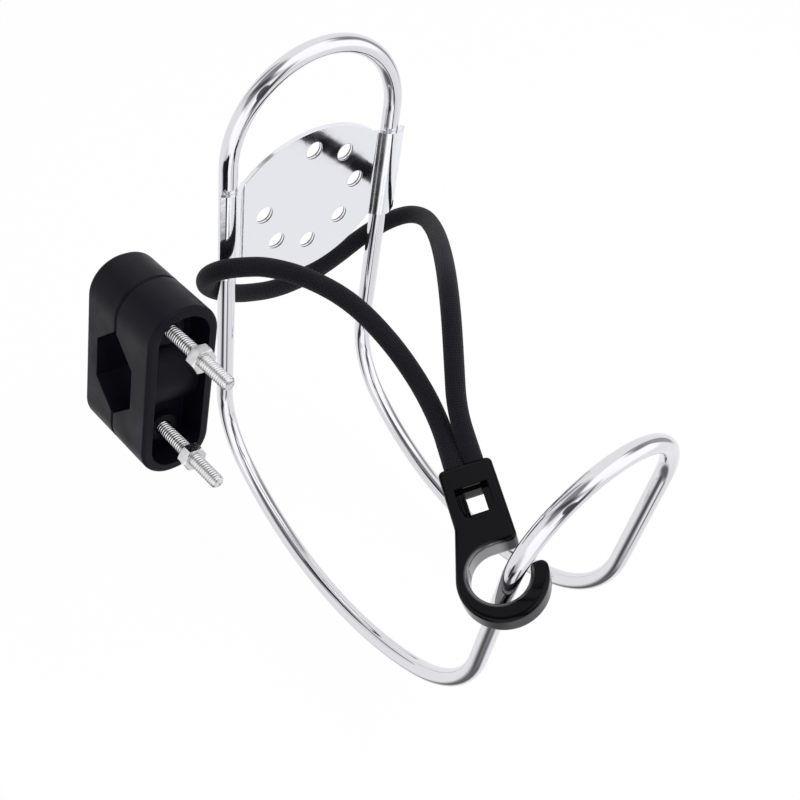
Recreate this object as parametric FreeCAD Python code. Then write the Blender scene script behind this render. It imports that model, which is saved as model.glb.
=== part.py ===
"""Life ring holder with its shock cord and its rail clamp, in millimetres.

The origin is the centre of the hole circle on the back face of the mounting
plate. +Z is up, and the cradle reaches forward along -Y. The rail clamp is
built on axes of its own and then set down beside the holder.
"""
import FreeCAD, Part
import math
import os

Vec = FreeCAD.Vector

# Rod frame
ROD_D = 8.0                 # polished round rod
ROD_Y = -0.75               # axis of the legs, from the back of the plate
LEG_SPACING = 87.0          # between the axes of the two legs
TOP_ARCH_Z = 31.5           # where the legs turn into the top arch
LEG_BOTTOM_Z = -102.9       # where the legs start to bend forward
BACK_BEND_R = 49.0
BACK_BEND_DEG = 54.0
FLOOR_BEND_R = 123.0
FLOOR_BEND_DEG = 68.0
FRONT_BEND_R = 63.0
FRONT_BEND_DEG = 56.0
SIDE_BENDS = (
    (BACK_BEND_R, BACK_BEND_DEG),
    (FLOOR_BEND_R, FLOOR_BEND_DEG),
    (FRONT_BEND_R, FRONT_BEND_DEG),
)
LIP_LENGTH = 62.0           # straight part of the lip below its arch

# Mounting plate
PLATE_T = 2.0
WEB_FROM_LEG = 7.1          # from the bend of the sheet to the axis of the leg
WEB_TOP_Z = 35.3            # crown of the top edge
WEB_BOTTOM_Z = -41.6        # crown of the bottom edge
HOLE_CIRCLE_D = 50.0
HOLE_D = 8.5
HOLE_ANGLES = (90.0, 45.0, 0.0, -45.0, -90.0, -135.0, 180.0)
SLEEVE_TOP_Z = 21.4         # where the crowned edges meet the sleeves
SLEEVE_BOTTOM_Z = -25.0
SLEEVE_CLEARANCE = 0.05     # between the rod and the sheet bent round it
WEB_BEND_R = 2.5            # of the sheet's middle, where it leaves the web
SLEEVE_END_DEG = 30.0       # heading of the flange that ends the sheet
FLANGE_LENGTH = 3.6
CUT_MARGIN = 1.0            # how far a cutting tool stands out of the part

# Shock cord
CORD_D = 8.6
CORD_PITCH = 8.8            # between the two ends in the hook
CORD_EXIT_RUN = 7.5         # straight run out of the hook

# Cord hook: its own axes run across it, along the pull and out of its face
HOOK_PULL = Vec(0.416, 0.904, 0.096)
HOOK_FACE = Vec(-0.358, 0.066, 0.931)
HOOK_T = 11.0
HOOK_INNER_R = 12.0
HOOK_OUTER_R = 18.2
HOOK_OUTER_X = 0.8          # centre of the outer round, so the band grows to its tip
HOOK_OUTER_Y = -1.6
HOOK_BODY_W = 22.8
HOOK_LENGTH = 50.6          # from the centre of the loop to the cord end
HOOK_SHOULDER_Y = 23.6      # where the sloping back meets the body
HOOK_SHOULDER_R = 12.0
HOOK_END_CORNER_R = 2.5
HOOK_MOUTH_CORNER_R = 3.0
HOOK_TIP_R = 2.8
HOOK_TIP_DEG = 2.0
HOOK_HANG_Z = -45.0         # height at which it grips the lip
HOOK_SEAT = 1.25            # room that the slanting rod needs in the loop
HOOK_OFFSET = 0.5           # rod to the side of the loop's axis
HOOK_EDGE_R = 1.8
SOCKET_DEPTH = 6.0
SOCKET_CLEARANCE = 0.2
RECESS_W = 14.0
RECESS_L = 16.0
RECESS_DEPTH = 3.0
RECESS_FROM_END = 10.6
WINDOW_W = 8.0
WINDOW_L = 10.5
WINDOW_FROM_RECESS = 1.0    # ledge at the cord end of the window
RIB_W = 0.9
RIB_PITCH = 1.7
RIB_FROM_SIDE = 1.0         # first rib, from the side of the recess
RIB_SHORTER = 1.5           # than the window
RIB_DROP = 0.8              # from the face of the hook to the rib
RIB_ROOT = 0.2              # of the rib in the floor of the recess

# Rail clamp, as it lies beside the holder
CLAMP_X = -100.5
CLAMP_Y = -28.0
CLAMP_Z = -26.3
CLAMP_YAW = 0.6
CLAMP_PITCH = 9.1
CLAMP_ROLL = -5.5
JAW_W = 32.0
JAW_H = 82.4
JAW_CORNER_R = 15.2
FRONT_JAW_DEPTH = 23.6
BACK_JAW_DEPTH = 20.9
PARTING_GAP = 0.2
PARTING_CHAMFER = 0.8
JAW_EDGE_R = 1.6
RAIL_NOTCH_H = 41.8         # at the parting face
RAIL_FLAT_H = 19.0
RAIL_NOTCH_DEPTH = 12.7     # of one jaw
JAW_WALL = 4.2
JAW_FLOOR = 10.0
TROUGH_WALL = 2.6           # least wall round the rail notch
BOSS_D = 13.0
BOSS_H = 4.0
BOLT_SPACING = 50.0
BOLT_D = 6.0
BOLT_BORE_CLEARANCE = 0.25
BOLT_REACH = 53.5           # from the parting face to the end of the thread
BOLT_END_CHAMFER = 0.8
HEAD_AF = 10.0
HEAD_H = 4.0
HEAD_CLEARANCE = 0.25
NUT_AF = 10.0
NUT_H = 5.0
NUT_BORE_CLEARANCE = 0.03
NUT_CHAMFER_DEG = 30.0
NUT_CHAMFER_STEP = 0.2      # from the flats to the round face
NUT_CENTRE = 35.0           # from the parting face, along the bolt

ROD_R = ROD_D / 2
CORD_R = CORD_D / 2
TOLERANCE = 0.01            # for finding edges and faces by their place
BOLT_R = BOLT_D / 2
HALF_SPACING = LEG_SPACING / 2
WEB_WIDTH = LEG_SPACING - 2 * WEB_FROM_LEG

# Route of the cord between its two exits from the hook. It crosses in front
# of the left leg, turns round it under the sleeve, runs behind both legs and
# comes back round the right one.
CORD_ROUTE = [
    (-14.7, -115.2, -35.7),
    (-13.1, -97.8, -27.2),
    (-14.3, -78.2, -17.2),
    (-18.8, -57.2, -9.9),
    (-26.9, -37.2, -8.0),
    (-36.2, -21.4, -9.6),
    (-44.8, -15.0, -10.6),
    (-52.3, -9.7, -12.6),
    (-54.8, -3.6, -19.2),
    (-52.8, 2.6, -29.0),
    (-48.4, 7.0, -38.3),
    (-41.2, 8.9, -46.0),
    (-31.5, 9.3, -52.5),
    (-23.4, 9.4, -56.2),
    (-11.0, 9.4, -60.6),
    (1.6, 9.4, -62.3),
    (15.6, 9.2, -61.2),
    (30.0, 9.2, -57.0),
    (44.4, 9.2, -51.1),
    (56.7, 6.4, -45.0),
    (63.8, -1.5, -37.2),
    (64.2, -12.5, -31.6),
    (57.5, -25.5, -25.9),
    (46.9, -40.0, -18.0),
    (33.2, -57.0, -9.0),
    (18.1, -75.5, -1.6),
    (6.0, -92.3, -3.4),
    (-1.8, -106.0, -13.7),
    (-8.4, -119.5, -25.9),
]


def heading(angle):
    """Direction in the plane of a leg: -90 is down, 0 forward, 90 up."""
    a = math.radians(angle)
    return Vec(0, -math.cos(a), math.sin(a))


def disc(point, direction, radius):
    return Part.Face(Part.Wire(Part.makeCircle(radius, point, direction)))


def fuse_all(solids):
    """One clean solid out of pieces that meet end to end."""
    whole = solids[0].multiFuse(solids[1:]).removeSplitter()
    return whole.Solids[0] if len(whole.Solids) == 1 else whole


def rod_bend(point, angle, radius, turn):
    """A bend of the rod in the leg's plane, with its end point and heading."""
    centre = point + heading(angle + 90) * radius
    solid = disc(point, heading(angle), ROD_R).revolve(centre, Vec(-1, 0, 0), turn)
    return solid, centre - heading(angle + turn + 90) * radius, angle + turn


def leg_and_lip(side):
    """Rod from the top arch down one leg, under the ring and up the lip."""
    x = side * HALF_SPACING
    top = Vec(x, ROD_Y, TOP_ARCH_Z)
    point = Vec(x, ROD_Y, LEG_BOTTOM_Z)
    solids = [Part.makeCylinder(ROD_R, (top - point).Length, point, top - point)]
    angle = -90.0
    for radius, turn in SIDE_BENDS:
        solid, point, angle = rod_bend(point, angle, radius, turn)
        solids.append(solid)
    solids.append(Part.makeCylinder(ROD_R, LIP_LENGTH, point, heading(angle)))
    return solids, point + heading(angle) * LIP_LENGTH, angle


def make_wire_frame():
    left, lip_left, angle = leg_and_lip(-1)
    right, lip_right, angle = leg_and_lip(1)
    top_start = Vec(HALF_SPACING, ROD_Y, TOP_ARCH_Z)
    arch = disc(top_start, Vec(0, 0, 1), ROD_R)
    arch = arch.revolve(Vec(0, ROD_Y, TOP_ARCH_Z), Vec(0, -1, 0), 180)
    lip = disc(lip_right, heading(angle), ROD_R)
    lip_centre = (lip_left + lip_right) * 0.5
    lip = lip.revolve(lip_centre, Vec(1, 0, 0).cross(heading(angle)), 180)
    return fuse_all([arch] + left + right + [lip])


def sheet_strip(start, runs):
    """Bent sheet seen from its end: runs and turns along its middle line.

    A run is a length; a turn is a radius with the degrees turned to the left.
    """
    point = start
    angle = 0.0
    front = []
    back = []
    for length, turn in runs:
        ahead = Vec(math.cos(angle), math.sin(angle), 0)
        left = Vec(-ahead.y, ahead.x, 0)
        if turn == 0:
            after = point + ahead * length
            for side, edges in ((-1, front), (1, back)):
                shift = left * (side * PLATE_T / 2)
                edges.append(Part.LineSegment(point + shift, after + shift).toShape())
        else:
            centre = point + left * math.copysign(length, turn)
            arm = (point - centre).normalize()
            for side, edges in ((-1, front), (1, back)):
                radius = length - side * math.copysign(PLATE_T / 2, turn)
                stops = [centre + turned(arm, turn * part) * radius for part in (0, 0.5, 1)]
                edges.append(Part.Arc(*stops).toShape())
            after = centre + turned(arm, turn) * length
            angle += turn
        point = after
    last_left = Vec(-math.sin(angle), math.cos(angle), 0) * (PLATE_T / 2)
    cap = Part.LineSegment(point - last_left, point + last_left).toShape()
    root = Vec(0, PLATE_T / 2, 0)
    foot = Part.LineSegment(start + root, start - root).toShape()
    return Part.Face(Part.Wire(front + [cap] + back[::-1] + [foot]))


def turned(vector, angle):
    """The vector turned about +Z by an angle in radians."""
    c = math.cos(angle)
    s = math.sin(angle)
    return Vec(vector.x * c - vector.y * s, vector.x * s + vector.y * c, 0)


def sleeve_start():
    """Angle at which the sheet leaves the web, and where the web ends."""
    corner = Vec(WEB_WIDTH / 2, -PLATE_T / 2, 0)
    to_rod = Vec(HALF_SPACING, ROD_Y, 0) - corner
    around = ROD_R + SLEEVE_CLEARANCE + PLATE_T / 2
    lift = math.asin(around / to_rod.Length) - math.atan2(to_rod.y, to_rod.x)
    setback = WEB_BEND_R * math.tan(lift / 2)
    reach = math.sqrt(to_rod.Length ** 2 - around ** 2)
    return lift, setback, reach, around


def plate_web():
    """Flat web with its crowned top and bottom edges and its ring of holes."""
    lift, setback, reach, around = sleeve_start()
    half = WEB_WIDTH / 2 - setback
    top_left = Vec(-half, 0, SLEEVE_TOP_Z)
    top_right = Vec(half, 0, SLEEVE_TOP_Z)
    low_left = Vec(-half, 0, SLEEVE_BOTTOM_Z)
    low_right = Vec(half, 0, SLEEVE_BOTTOM_Z)
    edges = [
        Part.Arc(top_left, Vec(0, 0, WEB_TOP_Z), top_right).toShape(),
        Part.LineSegment(top_right, low_right).toShape(),
        Part.Arc(low_right, Vec(0, 0, WEB_BOTTOM_Z), low_left).toShape(),
        Part.LineSegment(low_left, top_left).toShape(),
    ]
    web = Part.Face(Part.Wire(edges)).extrude(Vec(0, -PLATE_T, 0))
    for angle in HOLE_ANGLES:
        a = math.radians(angle)
        centre = Vec(math.cos(a), 0, math.sin(a)) * (HOLE_CIRCLE_D / 2)
        centre.y = CUT_MARGIN
        depth = PLATE_T + 2 * CUT_MARGIN
        web = web.cut(Part.makeCylinder(HOLE_D / 2, depth, centre, Vec(0, -1, 0)))
    return web


def plate_sleeve(side):
    """Sheet that bends out of the web, goes round the front of the rod and flares out."""
    lift, setback, reach, around = sleeve_start()
    start = Vec(WEB_WIDTH / 2 - setback, -PLATE_T / 2, SLEEVE_BOTTOM_Z)
    section = sheet_strip(start, (
        (WEB_BEND_R, -lift),
        (reach - setback, 0),
        (around, lift + math.radians(SLEEVE_END_DEG)),
        (FLANGE_LENGTH, 0),
    ))
    sleeve = section.extrude(Vec(0, 0, SLEEVE_TOP_Z - SLEEVE_BOTTOM_Z))
    return sleeve if side > 0 else sleeve.mirror(Vec(0, 0, 0), Vec(1, 0, 0))


def make_mounting_plate():
    return fuse_all([plate_web(), plate_sleeve(1), plate_sleeve(-1)])


def lip_point(z):
    """Point on the left lip's axis at the height z."""
    point = Vec(-HALF_SPACING, ROD_Y, LEG_BOTTOM_Z)
    angle = -90.0
    for radius, turn in SIDE_BENDS:
        point = point + heading(angle + 90) * radius
        angle = angle + turn
        point = point - heading(angle + 90) * radius
    rise = heading(angle)
    return point + rise * ((z - point.z) / rise.z)


def hook_placement():
    turn = FreeCAD.Rotation(HOOK_PULL.cross(HOOK_FACE), HOOK_PULL, HOOK_FACE, "YZX")
    across = turn.multVec(Vec(1, 0, 0))
    along = turn.multVec(Vec(0, 1, 0))
    hang = HOOK_INNER_R - ROD_R - HOOK_SEAT
    centre = lip_point(HOOK_HANG_Z) + across * HOOK_OFFSET + along * hang
    return FreeCAD.Placement(centre, turn)


def flat_prism(corners, z_from, z_to):
    """Straight-sided block over a polygon in the plane of the hook."""
    points = [Vec(x, y, z_from) for x, y in corners]
    points.append(points[0])
    return Part.Face(Part.makePolygon(points)).extrude(Vec(0, 0, z_to - z_from))


def shoulder_touch():
    """Where the sloping back of the hook runs into its outer round."""
    centre = Vec(HOOK_OUTER_X, HOOK_OUTER_Y, 0)
    to_centre = centre - Vec(-HOOK_BODY_W / 2, HOOK_SHOULDER_Y, 0)
    spread = math.asin(HOOK_OUTER_R / to_centre.Length)
    along = turned(to_centre, -spread).normalize()
    return Vec(-HOOK_BODY_W / 2, HOOK_SHOULDER_Y, 0) + along * (to_centre.Length * math.cos(spread))


def hook_profile():
    """Loop and body of the hook, before its edges are rounded."""
    low = -HOOK_T / 2
    high = HOOK_T / 2
    half = HOOK_BODY_W / 2
    reach = 2 * HOOK_OUTER_R
    centre = Vec(HOOK_OUTER_X, HOOK_OUTER_Y, low)
    ring = Part.makeCylinder(HOOK_OUTER_R, HOOK_T, centre, Vec(0, 0, 1))
    tip_y = reach * math.tan(math.radians(HOOK_TIP_DEG))
    mouth = [(0, 0), (reach, tip_y), (reach, reach), (0, reach)]
    ring = ring.cut(flat_prism(mouth, low - CUT_MARGIN, high + CUT_MARGIN))
    body = [(-half, HOOK_INNER_R), (half, HOOK_INNER_R), (half, HOOK_LENGTH), (-half, HOOK_LENGTH)]
    touch = shoulder_touch()
    back = [(0, 0), (0, HOOK_SHOULDER_Y), (-half, HOOK_SHOULDER_Y), (touch.x, touch.y)]
    shape = ring.fuse(flat_prism(body, low, high)).fuse(flat_prism(back, low, high))
    eye_from = Vec(0, 0, low - CUT_MARGIN)
    eye = Part.makeCylinder(HOOK_INNER_R, HOOK_T + 2 * CUT_MARGIN, eye_from, Vec(0, 0, 1))
    return shape.cut(eye).removeSplitter()


def is_upright(edge):
    return edge.Curve.TypeId == "Part::GeomLine" and abs(edge.tangentAt(edge.FirstParameter).z) > 0.99


def round_hook(shape):
    """Round the corners of the outline, then every edge of the two faces."""
    tip = math.radians(HOOK_TIP_DEG)
    inner_tip = Vec(HOOK_INNER_R * math.cos(tip), HOOK_INNER_R * math.sin(tip), 0)
    drop = inner_tip.y - HOOK_OUTER_Y
    outer_tip = Vec(HOOK_OUTER_X + math.sqrt(HOOK_OUTER_R ** 2 - drop ** 2), inner_tip.y, 0)
    half = HOOK_BODY_W / 2
    corners = (
        (inner_tip, HOOK_TIP_R),
        (outer_tip, HOOK_TIP_R),
        (Vec(half, HOOK_INNER_R, 0), HOOK_MOUTH_CORNER_R),
        (Vec(half, HOOK_LENGTH, 0), HOOK_END_CORNER_R),
        (Vec(-half, HOOK_LENGTH, 0), HOOK_END_CORNER_R),
        (Vec(-half, HOOK_SHOULDER_Y, 0), HOOK_SHOULDER_R),
    )
    for point, radius in corners:
        upright = [e for e in shape.Edges if is_upright(e)]
        nearest = min(upright, key=lambda e: (e.CenterOfMass - point).Length)
        shape = shape.makeFillet(radius, [nearest])
    rims = []
    for face in shape.Faces:
        if abs(abs(face.CenterOfMass.z) - HOOK_T / 2) < TOLERANCE:
            rims.extend(face.Edges)
    return shape.makeFillet(HOOK_EDGE_R, rims)


def recess_tool(z_from, z_to):
    """Rectangle at the cord end, half circle at the loop end."""
    top = HOOK_LENGTH - RECESS_FROM_END
    radius = RECESS_W / 2
    centre_y = top - RECESS_L + radius
    depth = z_to - z_from
    flat = Part.makeBox(RECESS_W, top - centre_y, depth, Vec(-radius, centre_y, z_from))
    return flat.fuse(Part.makeCylinder(radius, depth, Vec(0, centre_y, z_from), Vec(0, 0, 1)))


def make_cord_hook():
    shape = round_hook(hook_profile())
    face = HOOK_T / 2
    floor = face - RECESS_DEPTH
    shape = shape.cut(recess_tool(floor, face + CUT_MARGIN))
    shape = shape.cut(recess_tool(-face - CUT_MARGIN, -floor))
    window_top = HOOK_LENGTH - RECESS_FROM_END - WINDOW_FROM_RECESS
    window_low = window_top - WINDOW_L
    corner = Vec(-WINDOW_W / 2, window_low, -HOOK_T)
    shape = shape.cut(Part.makeBox(WINDOW_W, WINDOW_L, 2 * HOOK_T, corner))
    rib_h = RECESS_DEPTH - RIB_DROP + RIB_ROOT
    for step in (0, 1):
        x = -RECESS_W / 2 + RIB_FROM_SIDE + step * RIB_PITCH
        for z in (floor - RIB_ROOT, -face + RIB_DROP):
            rib = Part.makeBox(RIB_W, WINDOW_L - RIB_SHORTER, rib_h, Vec(x, window_low, z))
            shape = shape.fuse(rib)
    socket_w = CORD_D + 2 * SOCKET_CLEARANCE
    start = HOOK_LENGTH - SOCKET_DEPTH
    depth = SOCKET_DEPTH + CUT_MARGIN
    for side in (-1, 1):
        at = Vec(side * CORD_PITCH / 2, start, 0)
        shape = shape.cut(Part.makeCylinder(socket_w / 2, depth, at, Vec(0, 1, 0)))
    slot = Part.makeBox(CORD_PITCH, depth, socket_w, Vec(-CORD_PITCH / 2, start, -socket_w / 2))
    shape = shape.cut(slot).removeSplitter()
    shape.Placement = hook_placement()
    return shape


def cord_points():
    """The whole route, from the floor of one socket to that of the other."""
    place = hook_placement()
    start = HOOK_LENGTH - SOCKET_DEPTH
    exit_run = HOOK_LENGTH + CORD_EXIT_RUN
    left_in = place.multVec(Vec(-CORD_PITCH / 2, start, 0))
    left_out = place.multVec(Vec(-CORD_PITCH / 2, exit_run, 0))
    right_in = place.multVec(Vec(CORD_PITCH / 2, start, 0))
    right_out = place.multVec(Vec(CORD_PITCH / 2, exit_run, 0))
    return [left_in, left_out] + [Vec(*p) for p in CORD_ROUTE] + [right_out, right_in]


def tangent_path(points):
    """Straight runs joined by arcs as large as the two runs allow."""
    edges = []
    radii = []
    here = points[0]
    for before, corner, after in zip(points, points[1:], points[2:]):
        run_in = (before - corner).Length
        run_out = (after - corner).Length
        to_before = (before - corner) / run_in
        to_after = (after - corner) / run_out
        half_turn = (math.pi - to_before.getAngle(to_after)) / 2
        setback = 0.45 * min(run_in, run_out)
        radius = setback / math.tan(half_turn)
        radii.append(round(radius, 1))
        start = corner + to_before * setback
        end = corner + to_after * setback
        inward = (to_before + to_after).normalize()
        to_centre = math.hypot(radius, setback)
        middle = corner + inward * (to_centre - radius)
        edges.append(Part.LineSegment(here, start).toShape())
        edges.append(Part.Arc(start, middle, end).toShape())
        here = end
    edges.append(Part.LineSegment(here, points[-1]).toShape())
    return Part.Wire(edges), radii


def make_shock_cord():
    points = cord_points()
    path, radii = tangent_path(points)
    section = Part.Wire(Part.makeCircle(CORD_R, points[0], points[1] - points[0]))
    cord = path.makePipeShell([section], True, True)
    print("cord radii", radii)
    print("cord length %.1f, volume %.0f of %.0f" % (
        path.Length, cord.Volume, math.pi * CORD_R ** 2 * path.Length))
    return cord


def rounded_slab(width, height, radius, y_from, y_to):
    """Upright slab with round ends, from one depth to another."""
    edges = []
    w = width / 2
    h = height / 2
    r = min(radius, w - TOLERANCE)
    c = r * (1 - math.sqrt(0.5))
    for sx, sz in ((1, 1), (-1, 1), (-1, -1), (1, -1)):
        side = Vec(sx * w, y_from, sz * (h - r))
        end = Vec(sx * (w - r), y_from, sz * h)
        middle = Vec(sx * (w - c), y_from, sz * (h - c))
        if sx * sz > 0:
            edges.append(Part.Arc(side, middle, end).toShape())
        else:
            edges.append(Part.Arc(end, middle, side).toShape())
    order = []
    for i, arc in enumerate(edges):
        order.append(arc)
        following = edges[(i + 1) % 4]
        order.append(Part.LineSegment(arc.Vertexes[-1].Point, following.Vertexes[0].Point).toShape())
    outline = Part.Wire(Part.__sortEdges__(order))
    return Part.Face(outline).extrude(Vec(0, y_to - y_from, 0))


def rail_notch(side):
    """Half of the six-sided opening that takes the rail."""
    y = side * RAIL_NOTCH_DEPTH
    top = RAIL_NOTCH_H / 2
    flat = RAIL_FLAT_H / 2
    slope = (top - flat) / RAIL_NOTCH_DEPTH
    points = [
        Vec(-JAW_W, -side, top + slope),
        Vec(-JAW_W, y, flat),
        Vec(-JAW_W, y, -flat),
        Vec(-JAW_W, -side, -top - slope),
    ]
    points.append(points[0])
    return Part.Face(Part.makePolygon(points)).extrude(Vec(2 * JAW_W, 0, 0))


def hexagon(across_flats, y_from, y_to, z):
    corner = across_flats / math.sqrt(3)
    points = []
    for i in range(7):
        a = math.radians(60 * i)
        points.append(Vec(corner * math.cos(a), y_from, z + corner * math.sin(a)))
    return Part.Face(Part.makePolygon(points)).extrude(Vec(0, y_to - y_from, 0))


def bolt_bores(shape):
    for z in (-BOLT_SPACING / 2, BOLT_SPACING / 2):
        start = Vec(0, -JAW_H, z)
        bore = Part.makeCylinder(BOLT_R + BOLT_BORE_CLEARANCE, 2 * JAW_H, start, Vec(0, 1, 0))
        shape = shape.cut(bore)
    return shape


def outline_edges(shape, y, width):
    """Edges of the outer outline of a jaw at one depth."""
    found = []
    for edge in shape.Edges:
        box = edge.BoundBox
        at_depth = abs(box.YMin - y) < TOLERANCE and abs(box.YMax - y) < TOLERANCE
        p = edge.CenterOfMass
        outside = abs(p.x) > width / 2 - JAW_WALL or abs(p.z) > JAW_H / 2 - 2 * JAW_WALL
        if at_depth and outside:
            found.append(edge)
    return found


def clamp_pose(shape):
    turn = FreeCAD.Rotation(CLAMP_YAW, CLAMP_PITCH, CLAMP_ROLL)
    shape.Placement = FreeCAD.Placement(Vec(CLAMP_X, CLAMP_Y, CLAMP_Z), turn)
    return shape


def make_front_jaw():
    """Jaw with the rail notch behind and a pocket round the bolts in front."""
    front = -FRONT_JAW_DEPTH
    back = -PARTING_GAP / 2
    shape = rounded_slab(JAW_W, JAW_H, JAW_CORNER_R, front, back)
    shape = shape.makeFillet(JAW_EDGE_R, outline_edges(shape, front, JAW_W))
    shape = shape.makeChamfer(PARTING_CHAMFER, outline_edges(shape, back, JAW_W))
    inner_w = JAW_W - 2 * JAW_WALL
    inner_h = JAW_H - 2 * JAW_WALL
    pocket = rounded_slab(inner_w, inner_h, JAW_CORNER_R - JAW_WALL, front - CUT_MARGIN, -JAW_FLOOR)
    corner_r = math.hypot(RAIL_NOTCH_DEPTH, RAIL_FLAT_H / 2)
    start = Vec(-JAW_W, 0, 0)
    trough = Part.makeCylinder(corner_r + TROUGH_WALL, 2 * JAW_W, start, Vec(1, 0, 0))
    pocket = pocket.cut(trough)
    for z in (-BOLT_SPACING / 2, BOLT_SPACING / 2):
        base = Vec(0, -JAW_FLOOR, z)
        pocket = pocket.cut(Part.makeCylinder(BOSS_D / 2, BOSS_H, base, Vec(0, -1, 0)))
    shape = shape.cut(pocket).cut(rail_notch(-1))
    return clamp_pose(bolt_bores(shape).removeSplitter())


def make_back_jaw():
    """Jaw with the rail notch in front and the two bolt heads sunk behind."""
    front = PARTING_GAP / 2
    back = BACK_JAW_DEPTH
    shape = rounded_slab(JAW_W, JAW_H, JAW_CORNER_R, front, back)
    shape = shape.makeFillet(JAW_EDGE_R, outline_edges(shape, back, JAW_W))
    shape = shape.makeChamfer(PARTING_CHAMFER, outline_edges(shape, front, JAW_W))
    shape = bolt_bores(shape.cut(rail_notch(1)))
    for z in (-BOLT_SPACING / 2, BOLT_SPACING / 2):
        seat = back - HEAD_H
        shape = shape.cut(hexagon(HEAD_AF + 2 * HEAD_CLEARANCE, seat, back + CUT_MARGIN, z))
    return clamp_pose(shape.removeSplitter())


def make_bolt(z):
    """Hexagon bolt, its head seated in the back jaw."""
    head = BACK_JAW_DEPTH - HEAD_H
    length = head + BOLT_REACH
    shank = Part.makeCylinder(BOLT_R, length, Vec(0, head, z), Vec(0, -1, 0))
    end = [e for e in shank.Edges if abs(e.CenterOfMass.y + BOLT_REACH) < TOLERANCE]
    shank = shank.makeChamfer(BOLT_END_CHAMFER, end)
    return clamp_pose(fuse_all([shank, hexagon(HEAD_AF, head, BACK_JAW_DEPTH, z)]))


def make_nut(z):
    """Hexagon nut with its corners taken off by a cone on both faces."""
    near = -NUT_CENTRE - NUT_H / 2
    far = -NUT_CENTRE + NUT_H / 2
    face_r = NUT_AF / 2 - NUT_CHAMFER_STEP
    cone_h = NUT_H + CUT_MARGIN
    root_r = face_r + cone_h / math.tan(math.radians(NUT_CHAMFER_DEG))
    nut = hexagon(NUT_AF, near, far, z)
    for face, out in ((near, -1), (far, 1)):
        root = Vec(0, face - out * cone_h, z)
        nut = nut.common(Part.makeCone(root_r, face_r, cone_h, root, Vec(0, out, 0)))
    start = Vec(0, near - CUT_MARGIN, z)
    bore = Part.makeCylinder(BOLT_R + NUT_BORE_CLEARANCE, NUT_H + 2 * CUT_MARGIN, start, Vec(0, 1, 0))
    return clamp_pose(nut.cut(bore).removeSplitter())


def write(name, shape):
    solids = shape.Solids
    if len(solids) != 1 or not shape.isValid():
        raise ValueError("%s: %d solids, valid %s" % (name, len(solids), shape.isValid()))
    shape.exportStep("parts/" + name + ".step")
    print("%-18s %8.0f mm3" % (name, shape.Volume))


def main():
    os.makedirs("parts", exist_ok=True)
    half = BOLT_SPACING / 2
    write("wire_frame", make_wire_frame())
    write("mounting_plate", make_mounting_plate())
    write("shock_cord", make_shock_cord())
    write("cord_hook", make_cord_hook())
    write("clamp_front_jaw", make_front_jaw())
    write("clamp_back_jaw", make_back_jaw())
    write("upper_bolt", make_bolt(half))
    write("lower_bolt", make_bolt(-half))
    write("upper_nut", make_nut(half))
    write("lower_nut", make_nut(-half))


main()
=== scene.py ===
"""Life ring holder: polished rod cradle, drilled plate, shock cord with its hook, and a rail clamp.

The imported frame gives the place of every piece, and every piece stays in that frame.
Sizes in the constants are in millimetres where nothing else is said, and the lengths
in the settings are in metres.
"""
import math

import bpy
import numpy as np
from bpy.props import FloatProperty, FloatVectorProperty, IntProperty, PointerProperty
from mathutils import Matrix


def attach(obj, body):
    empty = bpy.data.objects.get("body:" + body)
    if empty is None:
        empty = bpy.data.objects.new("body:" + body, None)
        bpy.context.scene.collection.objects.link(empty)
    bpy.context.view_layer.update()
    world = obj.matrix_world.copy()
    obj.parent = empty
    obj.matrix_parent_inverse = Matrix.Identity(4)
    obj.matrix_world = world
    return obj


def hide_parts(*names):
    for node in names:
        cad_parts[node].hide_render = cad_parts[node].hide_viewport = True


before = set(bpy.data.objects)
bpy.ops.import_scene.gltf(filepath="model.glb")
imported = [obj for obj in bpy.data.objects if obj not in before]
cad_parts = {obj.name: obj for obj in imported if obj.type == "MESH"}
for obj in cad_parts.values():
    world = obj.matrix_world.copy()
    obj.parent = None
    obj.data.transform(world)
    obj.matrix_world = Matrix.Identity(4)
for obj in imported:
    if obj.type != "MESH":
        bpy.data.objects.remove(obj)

bl_info = {
    "name": "Life ring holder",
    "version": (1, 0, 0),
    "blender": (4, 5, 0),
    "location": "View3D > Sidebar > Holder",
    "description": "Builds the looks of a life ring holder over its packed frame",
    "category": "Object",
}

MM = 0.001

# Bent rod, in millimetres
ROD_D = 8.0
ROD_SIDES = 64
ROD_STEP = 1.0                  # between the rings along the rod
LEG_SPACING = 87.0
ROD_Y = -0.75
TOP_ARCH_Z = 31.5
LEG_BOTTOM_Z = -102.9
SIDE_BENDS = ((49.0, 54.0), (123.0, 68.0), (63.0, 56.0))    # radius, turn in degrees
LIP_LENGTH = 62.0

# Mounting plate, in millimetres
PLATE_T = 2.0
HOLES_WITHIN = 31.0             # no wall but the holes' lies so near the plate's centre
HOLE_REFLECTION_FROM = 0.3           # off the middle of the sheet, where the painted dark reflection sets in
HOLE_REFLECTION_FULL = 0.6
SLEEVE_FROM_Y = -2.2            # the bowed part of a sleeve lies in front of this
SLEEVE_TO_X = 4.2               # and ends this far outside the leg's axis
SLEEVE_AGREEMENT = 0.6          # least cosine between its flat normal and the bowed one
SHEET_TONE = "#F2F2F5"
# painted dark reflection along both edges of a hole's wall
HOLE_PAINTED_REFLECTION = "#3A3A3E"

# Shock cord, in millimetres
CORD_D = 8.6
CORD_SIDES = 40
CORD_STEP = 0.8                 # between the rings along the cord
CORD_PITCH = 8.8                # between the two sockets
SOCKET_DEPTH = 6.0
SOCKET_EXIT = 7.5
STRANDS_CLOSE_UP = 0.2          # of each strand, where it leaves the hook
STRANDS_OFFSET = 0.5            # of each strand towards a face of the hook, one up and one down
# painted shade in the braid's hollows
SHEATH_HOLLOW_SHADE = "#0A0A10"
SHEATH_LIGHT = "#15151B"

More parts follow.
